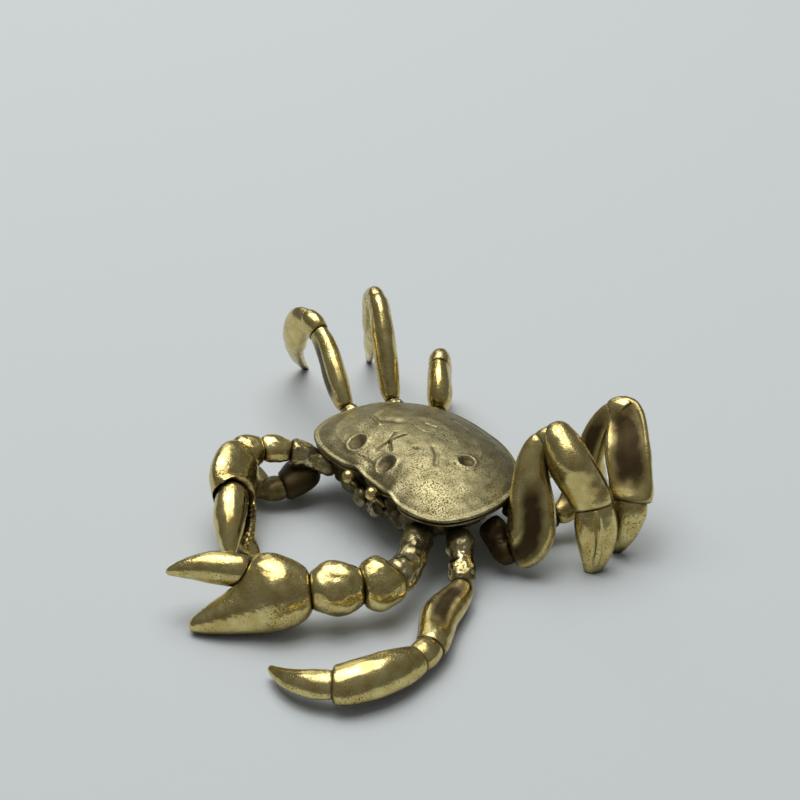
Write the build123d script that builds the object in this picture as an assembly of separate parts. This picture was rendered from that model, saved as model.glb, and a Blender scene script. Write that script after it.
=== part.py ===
from build123d import *
import os
from math import cos, radians, sin

# A small brass crab ornament, standing mid-stride: the two middle left legs are drawn in under it,
# the right legs reach out, and both claws swing in front. It is cast as separate pieces, which
# hold together by round pegs in sockets: every limb piece has its peg at the end nearer the body.
# Sizes are in mm. The crab faces -Y, its left side is +X, and the table is at z = 0.

# Carapace, the domed back
carapace_width = 29.4
carapace_length = 19.2
carapace_edge = 0.8
carapace_dome = 3.3
rim_height = 7.7
dimple_radius = 1.5
dimple_depth = 0.45
groove_radius = 0.28
orbit_radius = 2.1
orbit_drop = 1.3

# Thorax, the body under the carapace, and what it carries
thorax_depth = 4.9
hip_height = 5.2
face_inset = 0.9
flap_width = 7.4
flap_length = 9.0
flap_thickness = 1.0
flap_proud = 0.35
mouthpart_width = 2.7
mouthpart_height = 2.7
mouthpart_thickness = 1.0
mouthpart_gap = 0.25
eye_radius = 0.85
eyestalk_radius = 0.42
eyestalk_length = 3.0
eye_rise = 0.4

# Walking legs: length along the limb, thin width and broad height of each kind of piece
hip_length = 5.6
hip_width = 3.1
hip_tall = 3.3
thigh_length = 12.5
thigh_width = 3.3
thigh_tall = 4.6
knee_length = 2.5
knee_width = 3.0
knee_tall = 3.7
shin_length = 10.0
shin_width = 3.3
shin_tall = 5.2
toe_length = 8.6
toe_width = 2.8
toe_tall = 4.8

# Claws
shoulder_length = 6.8
shoulder_width = 3.3
shoulder_tall = 3.8
arm_length = 6.4
arm_width = 4.8
arm_tall = 6.2
wrist_length = 5.0
wrist_width = 5.6
wrist_tall = 6.9
hand_length = 15.0
hand_width = 5.8
hand_tall = 10.0
finger_length = 10.0
finger_width = 4.0
finger_tall = 4.2
finger_gap = 0.15

# Pegs and sockets
leg_peg_radius = 0.45
leg_peg_length = 0.8
claw_peg_radius = 0.8
claw_peg_length = 1.7
peg_clearance = 0.04
cut_overrun = 1.0
table_block = 200.0

# Half outline of the carapace, as shares of its half width and half length, from front to back.
CARAPACE_OUTLINE_SHARES = (
    (0.00, -0.95), (0.20, -0.96), (0.40, -1.00), (0.58, -1.00), (0.77, -0.93), (0.91, -0.76),
    (0.985, -0.48), (1.00, -0.18), (0.97, 0.12), (0.91, 0.36), (0.80, 0.58), (0.63, 0.78),
    (0.42, 0.92), (0.20, 0.99), (0.00, 1.00),
)

# Edge: size of each level against the rim, and its height as a share of the edge. A groove runs
# round between its two lips.
EDGE_SHARES = ((0.975, 0.00), (0.985, 0.25), (0.965, 0.40), (0.968, 0.62), (1.00, 0.72), (1.00, 1.00))

# Dome: size of each level against the rim, and its rise as a share of the dome.
DOME_SHARES = ((1.00, 0.00), (0.93, 0.20), (0.80, 0.46), (0.60, 0.74), (0.35, 0.94), (0.08, 1.00))

# Thorax: widths and lengths against the rim, shift forwards, and drop as a share of the depth.
THORAX_SHARES = (
    (0.88, 0.90, 0.00, 0.00),
    (0.87, 0.91, 0.00, 0.14),
    (0.84, 0.88, 0.01, 0.42),
    (0.74, 0.82, 0.04, 0.72),
    (0.58, 0.72, 0.08, 0.93),
    (0.44, 0.60, 0.10, 1.00),
)

# Dimples on the back, as shares of half width and half length.
DIMPLE_SHARES = ((-0.36, -0.69), (0.06, -0.69), (-0.39, -0.19), (0.56, 0.04))

# Abdomen flap: half outline from its point to its root, its middle, and its cross grooves.
FLAP_SHARES = ((0.00, -1.00), (0.50, -0.82), (0.78, -0.10), (1.00, 0.62), (0.60, 0.96), (0.00, 1.00))
FLAP_GROOVE_SHARES = (-0.55, -0.20, 0.15, 0.50)
flap_place_share = 0.02

# Mouth plates: their middle below the rim, and their size at the face and further out.
mouthpart_drop_share = 0.52
PLATE_SHARES = ((1.00, 0.00), (0.94, 0.55), (0.60, 1.00))

# Round flat filed on the thorax for each limb, against the limb's height.
seat_share = 1.12

# Eye hollows and eyes in the front edge, as shares of half width and half length.
orbit_place_share = 0.27
orbit_front_share = 1.03
eye_place_share = 0.165
eye_front_share = 1.055
stalk_pitch = -50

# Cross mark behind the dimples, and two short grooves, each from one point to another.
GROOVE_SHARES = (
    ((-0.15, -0.61), (-0.18, -0.26)),
    ((-0.03, -0.53), (-0.21, -0.36)),
    ((0.08, -0.30), (0.14, -0.22)),
    ((0.20, -0.08), (0.44, -0.33)),
)

# Outline of a limb's cross-section, as shares of half its width and half its height: a rounded
# diamond, with a soft ridge above and below.
RIDGED_SHARES = (
    (1.00, 0.00), (0.68, 0.66), (0.00, 1.00), (-0.68, 0.66),
    (-1.00, 0.00), (-0.68, -0.66), (0.00, -1.00), (0.68, -0.66),
)

# Pieces of a limb. Each row: place along the piece, width, height, and how far the middle moves
# towards the upper ridge, as shares of the piece's length, width, height and half height.
HIP_SHARES = (
    (0.00, 0.80, 0.80, 0.00), (0.14, 1.00, 1.00, 0.00), (0.34, 1.04, 1.05, 0.04),
    (0.52, 0.84, 0.84, 0.00), (0.70, 1.00, 1.04, 0.05), (0.88, 0.94, 0.98, 0.00),
    (1.00, 0.66, 0.66, 0.00),
)
THIGH_SHARES = (
    (0.00, 0.60, 0.50, 0.00), (0.08, 0.80, 0.70, 0.00), (0.28, 1.00, 0.98, 0.03),
    (0.52, 1.00, 1.00, 0.05), (0.78, 0.90, 0.88, 0.03), (0.94, 0.84, 0.80, 0.00),
    (1.00, 0.74, 0.70, 0.00),
)
KNEE_SHARES = (
    (0.00, 0.88, 0.90, 0.00), (0.50, 1.02, 1.02, 0.00), (1.00, 0.88, 0.90, 0.00),
)
SHIN_SHARES = (
    (0.00, 0.78, 0.60, 0.00), (0.08, 0.88, 0.74, 0.00), (0.30, 1.00, 0.95, 0.04),
    (0.60, 1.00, 1.00, 0.04), (0.88, 0.94, 0.92, 0.00), (1.00, 0.84, 0.82, 0.00),
)
TOE_SHARES = (
    (0.00, 0.92, 0.90, 0.00), (0.22, 1.00, 1.00, 0.00), (0.48, 0.84, 0.82, 0.00),
    (0.74, 0.58, 0.54, 0.00), (0.92, 0.36, 0.30, 0.00), (1.00, 0.20, 0.16, 0.00),
)
SHOULDER_SHARES = (
    (0.00, 0.94, 0.90, 0.00), (0.16, 1.08, 1.06, 0.00), (0.40, 0.94, 0.92, 0.00),
    (0.66, 1.04, 1.00, 0.00), (0.90, 1.26, 1.20, 0.00), (1.00, 1.10, 1.06, 0.00),
)
ARM_SHARES = (
    (0.00, 0.78, 0.70, 0.00), (0.18, 0.90, 0.86, 0.03), (0.50, 1.00, 1.00, 0.04),
    (0.82, 0.90, 0.88, 0.02), (1.00, 0.66, 0.62, 0.00),
)
WRIST_SHARES = (
    (0.00, 0.60, 0.56, 0.00), (0.14, 0.84, 0.78, 0.00), (0.42, 1.00, 1.00, 0.00),
    (0.70, 0.96, 0.96, 0.00), (0.90, 0.80, 0.74, 0.00), (1.00, 0.70, 0.60, 0.00),
)
HAND_SHARES = (
    (0.00, 0.66, 0.46, 0.00), (0.06, 0.84, 0.70, 0.00), (0.20, 1.00, 0.94, 0.00),
    (0.36, 1.00, 1.00, 0.00), (0.48, 0.92, 0.90, -0.08), (0.60, 0.80, 0.60, -0.34),
    (0.76, 0.62, 0.42, -0.42), (0.88, 0.46, 0.29, -0.44),
    (0.95, 0.34, 0.20, -0.47), (1.00, 0.22, 0.12, -0.49),
)
FINGER_SHARES = (
    (0.00, 0.70, 0.66, 0.00), (0.12, 0.94, 0.92, 0.00), (0.36, 1.00, 1.00, 0.06),
    (0.62, 0.84, 0.78, 0.10), (0.84, 0.52, 0.46, 0.06), (1.00, 0.22, 0.18, 0.00),
)

# How strongly a limb's middle line keeps the direction of its seats.
curve_fullness_share = 1.0

# Hips: name, place as shares of half the carapace's width and length, and the directions that
# the thin sides of the upper and of the lower leg face, as heading and pitch in degrees. A
# heading of 0 is +X, 90 is +Y. Each pose row: length and girth as shares of the common ones,
# arch towards the upper ridge as a share of the length, heading and pitch.
LEGS = (
    ("left_leg_1", (0.83, -0.42), (-45, 50), (-45, 50), (
        (1.32, 1.00, 0.00, -36, -23), (1.05, 1.10, 0.08, -54, 0), (1.14, 1.00, 0.00, -69, 2),
        (1.09, 1.12, 0.00, -98, 2), (1.06, 0.84, 0.00, -162, -9))),
    ("left_leg_2", (0.85, 0.03), (-30, 27), (-30, 27), (
        (0.91, 1.00, 0.00, 5, -28), (1.13, 1.06, 0.00, 115, 58), (0.90, 0.88, 0.00, 50, 12),
        (0.93, 1.05, 0.06, 8, -53), (1.03, 1.05, 0.00, -41, -74))),
    ("left_leg_3", (0.71, 0.48), (-70, 38), (-50, 34), (
        (1.21, 1.00, 0.00, 55, -19), (1.19, 0.88, 0.00, 94, 51), (0.75, 1.00, 0.00, 26, 16),
        (1.13, 1.12, 0.05, -36, -44), (0.89, 0.95, 0.03, -118, -76))),
    ("left_leg_4", (0.52, 0.75), (2, 0), (2, 0), (
        (0.61, 0.90, 0.00, 83, 3), (0.42, 0.80, 0.00, 90, 11), (0.80, 0.90, 0.00, 90, -18),
        (0.43, 0.75, 0.00, 90, -44), (0.47, 0.85, 0.00, 94, -50))),
    ("right_leg_1", (-0.83, -0.42), (-135, 70), (-135, 70), (
        (0.82, 0.92, 0.00, -96, -18), (0.39, 1.05, 0.00, -88, -14), (0.90, 1.05, 0.00, -127, -8),
        (0.66, 0.95, 0.00, -175, 0), (0.61, 0.90, 0.00, 145, -31))),
    ("right_leg_2", (-0.85, 0.02), (-99, 2), (-75, 12), (
        (0.92, 0.90, 0.00, 178, 21), (0.93, 0.95, 0.00, 165, 31), (1.01, 1.00, 0.00, 178, 18),
        (0.81, 0.88, 0.00, 168, -47), (1.25, 0.75, 0.00, 130, -51))),
    ("right_leg_3", (-0.71, 0.48), (-115, 0), (-115, 0), (
        (0.88, 0.90, 0.00, 163, 27), (1.10, 0.95, 0.00, 155, 44), (0.76, 0.80, 0.00, 158, -9),
        (0.91, 0.80, 0.00, 146, -58), (1.38, 0.80, 0.00, 148, -52))),
    ("right_leg_4", (-0.52, 0.75), (-132, 0), (-132, 0), (
        (0.69, 0.90, 0.00, 130, 23), (0.52, 1.00, 0.00, 142, 30), (0.75, 1.00, 0.00, 137, -3),
        (0.61, 0.80, 0.00, 137, -53), (0.67, 0.85, 0.00, 135, -64))),
)

# Claws alike, with one direction each. The last row is the movable finger: its length and girth
# shares, its seat along the hand and above the hand's middle as shares of the hand's length and
# half height, and how far its root turns up and its tip down against the hand.
CLAWS = (
    ("left_claw", (0.61, -0.76), (-45, 39), (
        (1.52, 1.00, 0.00, -56, -3), (0.67, 1.00, 0.00, -102, 4), (1.19, 1.00, 0.00, -119, -1),
        (0.99, 1.00, 0.03, -127, -8)), (1.00, 1.00, 0.48, 0.62, 14, -2)),
    ("right_claw", (-0.61, -0.76), (44, 28), (
        (0.89, 0.85, 0.00, -134, 17), (0.59, 0.56, 0.00, -115, 11), (0.65, 0.66, 0.00, -95, -2),
        (0.98, 0.84, 0.00, -29, -24)), (1.22, 1.28, 0.36, 0.20, 4, -10)),
)


def way(heading, pitch):
    """Unit direction from a heading and a pitch in degrees."""
    level = cos(radians(pitch))
    return Vector(level * cos(radians(heading)), level * sin(radians(heading)), sin(radians(pitch)))


def curve_place(a, b, share):
    """Place on the smooth curve from seat a to seat b."""
    pull = (b[0] - a[0]).length * curve_fullness_share
    rest = 1 - share
    return (
        a[0] * (rest * rest * (1 + 2 * share))
        + a[1] * (pull * share * rest * rest)
        + b[0] * (share * share * (3 - 2 * share))
        - b[1] * (pull * share * share * rest)
    )


def curve_way(a, b, share):
    """Direction of the same curve."""
    pull = (b[0] - a[0]).length * curve_fullness_share
    slope = (
        (b[0] - a[0]) * (6 * share * (1 - share))
        + a[1] * (pull * (1 - share) * (1 - 3 * share))
        + b[1] * (pull * share * (3 * share - 2))
    )
    return slope.normalized()


def section(place, along, thin, width, height):
    """Closed outline of a limb, square to its direction, its thin side facing the thin vector."""
    side = (thin - along * thin.dot(along)).normalized()
    up = along.cross(side)
    points = [place + side * (u * width / 2) + up * (v * height / 2) for u, v in RIDGED_SHARES]
    return Wire([Spline(*points, periodic=True)])


def limb_piece(a, b, thin, width, height, shares, arch_share=0, grow=0):
    """Loft from seat a to seat b through the sections that the shares give."""
    arch = arch_share * (b[0] - a[0]).length
    outlines = []
    for share, width_share, height_share, lift_share in shares:
        along = curve_way(a, b, share)
        side = (thin - along * thin.dot(along)).normalized()
        up = along.cross(side)
        bend = 16 * (share * (1 - share)) ** 2
        place = curve_place(a, b, share) + up * (lift_share * height / 2 + bend * arch)
        outlines.append(
            section(place, along, thin, width_share * width + grow, height_share * height + grow)
        )
    return Solid.make_loft(outlines)


def peg(seat, radius, length):
    """Round peg that stands back from a seat, towards the body."""
    return extrude(Plane(seat[0], z_dir=-seat[1]) * Circle(radius), length)


def socket(seat, radius, length):
    """Hole that holds such a peg."""
    return peg(seat, radius + peg_clearance, length + peg_clearance)


def limb_seats(hip, pose, lengths):
    """Seats at every joint of a limb: its place, and the direction that runs through it."""
    chords = [way(heading, pitch) for length_share, girth_share, arch_share, heading, pitch in pose]
    places = [hip]
    for row, length, chord in zip(pose, lengths, chords):
        places.append(places[-1] + chord * (row[0] * length))
    ways = [chords[0]]
    for before, after in zip(chords, chords[1:]):
        ways.append((before + after).normalized())
    last = chords[-1]
    ways.append(last * (2 * ways[-1].dot(last)) - ways[-1])
    return list(zip(places, ways))


def limb(name, seats, pose, thins, kinds, peg_radius, peg_length):
    """Pieces of one limb, each with its peg, and with the socket for the piece after it."""
    made = {}
    for number, (kind, width, height, shares) in enumerate(kinds):
        girth, arch = pose[number][1:3]
        start, end = seats[number], seats[number + 1]
        thin = thins[number]
        piece = limb_piece(start, end, thin, girth * width, girth * height, shares, arch)
        piece = piece + peg(seats[number], peg_radius, peg_length)
        if number + 1 < len(kinds):
            piece = piece - socket(seats[number + 1], peg_radius, peg_length)
        made[f"{name}_{kind}"] = piece
    return made


def hip_place(shares):
    """Place of a hip on the side of the thorax."""
    return Vector(shares[0] * carapace_width / 2, shares[1] * carapace_length / 2, hip_height)


def leg(name, hip_shares, upper_angles, lower_angles, pose):
    """One walking leg: hip, thigh, knee, shin and toe."""
    lengths = (hip_length, thigh_length, knee_length, shin_length, toe_length)
    kinds = (
        ("hip", hip_width, hip_tall, HIP_SHARES),
        ("thigh", thigh_width, thigh_tall, THIGH_SHARES),
        ("knee", knee_width, knee_tall, KNEE_SHARES),
        ("shin", shin_width, shin_tall, SHIN_SHARES),
        ("toe", toe_width, toe_tall, TOE_SHARES),
    )
    seats = limb_seats(hip_place(hip_shares), pose, lengths)
    upper, lower = way(*upper_angles), way(*lower_angles)
    thins = (upper, upper, upper, lower, lower)
    return seats[0], limb(name, seats, pose, thins, kinds, leg_peg_radius, leg_peg_length)


def claw(name, hip_shares, thin_angles, pose, finger_row):
    """One claw: shoulder, arm, wrist, palm with its fixed finger, and the movable finger."""
    lengths = (shoulder_length, arm_length, wrist_length, hand_length)
    kinds = (
        ("shoulder", shoulder_width, shoulder_tall, SHOULDER_SHARES),
        ("arm", arm_width, arm_tall, ARM_SHARES),
        ("wrist", wrist_width, wrist_tall, WRIST_SHARES),
        ("palm", hand_width, hand_tall, HAND_SHARES),
    )
    thin = way(*thin_angles)
    seats = limb_seats(hip_place(hip_shares), pose, lengths)
    made = limb(name, seats, pose, (thin,) * 4, kinds, claw_peg_radius, claw_peg_length)
    length_share, girth_share, seat_place_share, rise_share, root_turn, tip_turn = finger_row
    girth = pose[3][1]
    start, end = seats[3], seats[4]
    along = curve_way(start, end, seat_place_share)
    side = (thin - along * thin.dot(along)).normalized()
    up = along.cross(side)
    middle = curve_place(start, end, seat_place_share)
    root = middle + up * (rise_share * girth * hand_tall / 2)
    hinge = Axis(root, side)
    root_way, tip_way = [along.rotate(hinge, -turn) for turn in (root_turn, tip_turn)]
    seat = (root, root_way)
    reach = length_share * girth * finger_length
    tip = (root + (root_way + tip_way).normalized() * reach, tip_way)
    wide, tall = girth_share * girth * finger_width, girth_share * girth * finger_tall
    finger = limb_piece(seat, tip, thin, wide, tall, FINGER_SHARES)
    room = limb_piece(seat, tip, thin, wide, tall, FINGER_SHARES, grow=2 * finger_gap)
    hole = socket(seat, claw_peg_radius, claw_peg_length)
    made[f"{name}_palm"] = made[f"{name}_palm"] - room - hole
    made[f"{name}_finger"] = finger + peg(seat, claw_peg_radius, claw_peg_length)
    return seats[0], made


def carapace_outline(height, width_share, length_share, shift_share=0):
    """Outline of the carapace at a height, made smaller by shares of its width and length."""
    half_width = width_share * carapace_width / 2
    half_length = length_share * carapace_length / 2
    shift = shift_share * carapace_length / 2
    left_side = list(CARAPACE_OUTLINE_SHARES)
    right_side = [(-u, v) for u, v in reversed(left_side[1:-1])]
    around = left_side + right_side
    points = [Vector(u * half_width, v * half_length - shift, height) for u, v in around]
    return Wire([Spline(*points, periodic=True)])


def dome_height(u, v):
    """Height of the back above a point given in shares of half width and half length."""
    reach = (u * u + v * v) ** 0.5
    for (outer, low), (inner, high) in zip(DOME_SHARES, DOME_SHARES[1:]):
        if reach >= inner:
            step = (outer - reach) / (outer - inner)
            return rim_height + carapace_edge + carapace_dome * (low + (high - low) * step)
    return rim_height + carapace_edge + carapace_dome


def orbits():
    """Round hollows in the front edge for the eyes."""
    hollows = []
    for side in (-1, 1):
        place = (side * orbit_place_share * carapace_width / 2, -orbit_front_share * carapace_length / 2)
        hollows.append(Pos(*place, rim_height - orbit_drop) * Sphere(orbit_radius))
    return hollows


def eye_places():
    """Middles of the two eyes."""
    places = []
    for side in (-1, 1):
        x = side * eye_place_share * carapace_width / 2
        y = -eye_front_share * carapace_length / 2
        places.append(Vector(x, y, rim_height + eye_rise))
    return places


def eye(place, room=0):
    """Round eye on its stalk, which slopes back into the thorax, made larger by a room."""
    stalk = Plane(place, z_dir=way(90, stalk_pitch)) * Circle(eyestalk_radius + room)
    return Pos(*place) * Sphere(eye_radius + room) + extrude(stalk, eyestalk_length + room)


def eye_rooms():
    """Hollows that the eyes and their stalks sit in."""
    return [eye(place, peg_clearance) for place in eye_places()]


def back_point(u, v, lift=0):
    """Point on the back above the given shares."""
    return Vector(u * carapace_width / 2, v * carapace_length / 2, dome_height(u, v) + lift)


def carapace():
    """Domed back with its thin edge, eye hollows, dimples and grooves."""
    edge = []
    for share, rise_share in EDGE_SHARES:
        height = rim_height + rise_share * carapace_edge
        edge.append(carapace_outline(height, share, share))
    dome = []
    for share, rise_share in DOME_SHARES:
        height = rim_height + carapace_edge + rise_share * carapace_dome
        dome.append(carapace_outline(height, share, share))
    back = Solid.make_loft(edge, ruled=True) + Solid.make_loft(dome)
    for hollow in orbits() + eye_rooms():
        back = back - hollow
    for u, v in DIMPLE_SHARES:
        back = back - Pos(*back_point(u, v, dimple_radius - dimple_depth)) * Sphere(dimple_radius)
    for start, end in GROOVE_SHARES:
        line = Line(back_point(*start), back_point(*end))
        rod = sweep(Plane(line @ 0, z_dir=line % 0) * Circle(groove_radius), path=line)
        back = back - rod
    return back


def face_plane_y():
    """Y of the flat face under the front edge."""
    return face_inset - carapace_length / 2


def thorax(hip_seats):
    """Bowl-shaped body with a seat and a socket for each limb, and the flat face."""
    outlines = []
    for width_share, length_share, shift_share, drop_share in THORAX_SHARES:
        height = rim_height - drop_share * thorax_depth
        outlines.append(carapace_outline(height, width_share, length_share, shift_share))
    body = Solid.make_loft(outlines)
    front = Pos(0, face_plane_y() - carapace_width, 0) * Box(
        2 * carapace_width, 2 * carapace_width, 2 * carapace_width
    )
    body = body - front
    for hollow in orbits() + eye_rooms():
        body = body - hollow
    for seat, radius, peg_radius, peg_length in hip_seats:
        place, out = seat
        body = body - extrude(Plane(place, z_dir=out) * Circle(radius), hip_length)
        body = body - socket(seat, peg_radius, peg_length)
    return body


def flap_outline(grow, height):
    """Tongue outline of the abdomen flap, its point towards the front."""
    half = flap_width / 2 + grow
    reach = flap_length / 2 + grow
    shift = flap_place_share * carapace_length / 2
    left_side = [(u * half, v * reach + shift) for u, v in FLAP_SHARES]
    right_side = [(-x, y) for x, y in reversed(left_side[1:-1])]
    points = [Vector(x, y, height) for x, y in left_side + right_side]
    return make_face(Wire([Spline(*points, periodic=True)]))


def belly_height():
    """Height of the flat underside of the thorax."""
    return rim_height - thorax_depth


def abdomen_flap():
    """Abdomen folded under the thorax: a tongue with cross grooves between its rings."""
    bottom = belly_height() - flap_proud
    flap = extrude(flap_outline(0, bottom), flap_thickness)
    for v in FLAP_GROOVE_SHARES:
        y = (v * flap_length + flap_place_share * carapace_length) / 2
        rod = Plane((-flap_width, y, bottom), z_dir=(1, 0, 0)) * Circle(groove_radius)
        flap = flap - extrude(rod, 2 * flap_width)
    return flap


def flap_pocket():
    """Pocket in the thorax that the flap lies in."""
    top = belly_height() - flap_proud + flap_thickness
    return extrude(flap_outline(peg_clearance, top), -flap_thickness - cut_overrun)


def mouthpart(side):
    """One of the two plates that close the mouth, domed and rounded, flat against the face."""
    middle = Vector(
        side * (mouthpart_gap + mouthpart_width) / 2,
        face_plane_y(),
        rim_height - mouthpart_drop_share * thorax_depth,
    )
    outlines = []
    for share, rise_share in PLATE_SHARES:
        plane = Plane(middle - Vector(0, rise_share * mouthpart_thickness, 0), x_dir=(1, 0, 0), z_dir=(0, -1, 0))
        outline = Ellipse(share * mouthpart_width / 2, share * mouthpart_height / 2)
        outlines.append((plane * outline).wire())
    plate = Solid.make_loft(outlines)
    for hollow in orbits():
        plate = plate - hollow
    return plate


def filed(piece):
    """The piece with whatever would go through the table filed off flat."""
    if piece.bounding_box().min.Z >= 0:
        return piece
    return piece - Pos(0, 0, -table_block / 2) * Box(table_block, table_block, table_block)


def assembly():
    """All pieces by name, standing on the table."""
    made = {}
    hip_seats = []
    for row in LEGS:
        seat, pieces = leg(*row)
        made.update(pieces)
        hip_seats.append((seat, seat_share * hip_tall / 2, leg_peg_radius, leg_peg_length))
    for row in CLAWS:
        seat, pieces = claw(*row)
        made.update(pieces)
        hip_seats.append((seat, seat_share * shoulder_tall / 2, claw_peg_radius, claw_peg_length))
    made["carapace"] = carapace()
    made["thorax"] = thorax(hip_seats) - flap_pocket()
    made["abdomen_flap"] = abdomen_flap()
    for side, place in zip(("right", "left"), eye_places()):
        made[f"eye_{side}"] = eye(place)
    for side, sign in (("right", -1), ("left", 1)):
        made[f"mouthpart_{side}"] = mouthpart(sign)
    return {name: filed(piece) for name, piece in made.items()}


def centred(made):
    """The same pieces with the origin under the middle of the whole crab."""
    whole = Compound(children=[Compound(piece.solids()) for piece in made.values()]).bounding_box()
    shift = Pos(-(whole.min.X + whole.max.X) / 2, -(whole.min.Y + whole.max.Y) / 2, -whole.min.Z)
    return {name: shift * piece for name, piece in made.items()}


os.makedirs("parts", exist_ok=True)
for name, piece in centred(assembly()).items():
    export_step(piece, f"parts/{name}.step")
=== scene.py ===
from math import cos, pi, radians, sin

import bpy
import numpy as np
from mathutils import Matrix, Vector


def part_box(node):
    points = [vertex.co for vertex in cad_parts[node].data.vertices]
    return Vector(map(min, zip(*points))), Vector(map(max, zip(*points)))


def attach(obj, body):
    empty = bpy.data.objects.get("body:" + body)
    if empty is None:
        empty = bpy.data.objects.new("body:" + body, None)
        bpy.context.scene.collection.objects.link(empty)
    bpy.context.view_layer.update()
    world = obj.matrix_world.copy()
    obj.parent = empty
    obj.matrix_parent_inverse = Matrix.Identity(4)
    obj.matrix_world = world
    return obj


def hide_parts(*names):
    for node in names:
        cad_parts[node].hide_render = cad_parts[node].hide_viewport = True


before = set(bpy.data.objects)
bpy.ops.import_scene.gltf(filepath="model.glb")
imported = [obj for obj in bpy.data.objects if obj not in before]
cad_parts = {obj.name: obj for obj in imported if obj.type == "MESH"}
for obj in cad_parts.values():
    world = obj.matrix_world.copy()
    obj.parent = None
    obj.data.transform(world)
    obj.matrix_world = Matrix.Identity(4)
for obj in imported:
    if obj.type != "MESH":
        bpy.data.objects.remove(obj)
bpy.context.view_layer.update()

bl_info = {
    "name": "Brass crab ornament",
    "version": (1, 0, 0),
    "blender": (4, 5, 0),
    "location": "3D View > Sidebar > Crab",
    "description": "Dresses the cast brass crab ornament, piece by piece, and sets its studio",
    "category": "Object",
}

# Sizes and places are in millimetres until they go into a mesh, which is in metres.
MM = 0.001

# Camera: the side it stands on and its height in degrees, its distance, and the middle of its view,
# measured from the place on the table under the middle of the back. Its lens is given in pixels of
# a picture 800 pixels wide, and nothing nearer than the last size is seen.
CAMERA_SIDE = 53.0
CAMERA_HEIGHT = 31.0
CAMERA_DISTANCE = 300.0
VIEW_PLACE = (-2.4, -2.1, 16.3)
PICTURE_WIDTH = 800
FOCAL_PIXELS = 2419
SENSOR = 36.0
NEAREST = 10.0

# Floor, and lamps: place from the same place on the table, edge length, and power in watts.
FLOOR_SIZE = 4000.0
LAMPS = (
    ("overhead", (-270, 70, 930), 980, 8.2),
    ("bright_middle", (-265, 75, 905), 240, 0.9),
    ("window", (-420, 160, 260), 200, 0.12),
)

# The back, and the body under it, whose top laps a little way into the back
BACK_WIDTH = 29.4
BACK_LENGTH = 19.2
EDGE_HEIGHT = 7.7
EDGE_THICKNESS = 0.8
BODY_DEPTH = 4.9
BODY_LAP = 0.1
FACE_INSET = 0.9
HIP_HEIGHT = 5.2

# Points round the back and the body, and how far apart their rings are, in shares of the outline.
BACK_AROUND, BACK_SPACING = 360, 0.0115
BODY_AROUND, BODY_SPACING = 300, 0.02

# Half outline of the back from front to rear, as shares of its half width and half length.
BACK_OUTLINE = (
    (0.00, -0.95), (0.20, -0.96), (0.40, -1.00), (0.58, -1.00), (0.77, -0.93), (0.91, -0.76),
    (0.985, -0.48), (1.00, -0.18), (0.97, 0.12), (0.91, 0.36), (0.80, 0.58), (0.63, 0.78),
    (0.42, 0.92), (0.20, 0.99), (0.00, 1.00),
)

# Section of the back from its top, over the edge and its groove, to the middle of its underside:
# size against the outline, and height above the edge's lower side.
BACK_SECTION = (
    (0.00, 4.10), (0.16, 4.08), (0.35, 3.90), (0.60, 3.24), (0.80, 2.28), (0.90, 1.58),
    (0.952, 1.14), (0.972, 1.10), (0.99, 1.06), (1.00, 0.90), (0.998, 0.72), (0.965, 0.60),
    (0.955, 0.42), (0.985, 0.26), (0.985, 0.10), (0.96, 0.00), (0.80, 0.00), (0.00, 0.00),
)

# Body: size against the outline across and along, shift forwards, and depth, in shares.
BODY_SECTION = (
    (0.00, 0.00, 0.00, 0.00), (0.87, 0.89, 0.00, 0.00), (0.88, 0.92, 0.00, 0.06),
    (0.87, 0.91, 0.00, 0.16), (0.84, 0.88, 0.01, 0.42), (0.74, 0.82, 0.04, 0.72),
    (0.58, 0.72, 0.08, 0.93), (0.44, 0.60, 0.10, 1.00), (0.00, 0.00, 0.10, 1.00),
)

# Cross-sections of limb pieces, as shares of half the width and half the height.
RIDGED = (
    (1.00, 0.00), (0.88, 0.38), (0.60, 0.74), (0.00, 1.02), (-0.60, 0.74), (-0.88, 0.38),
    (-1.00, 0.00), (-0.88, -0.38), (-0.60, -0.74), (0.00, -1.02), (0.60, -0.74), (0.88, -0.38),
)
ROUNDED = tuple((cos(radians(30 * k)), sin(radians(30 * k))) for k in range(12))

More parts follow.
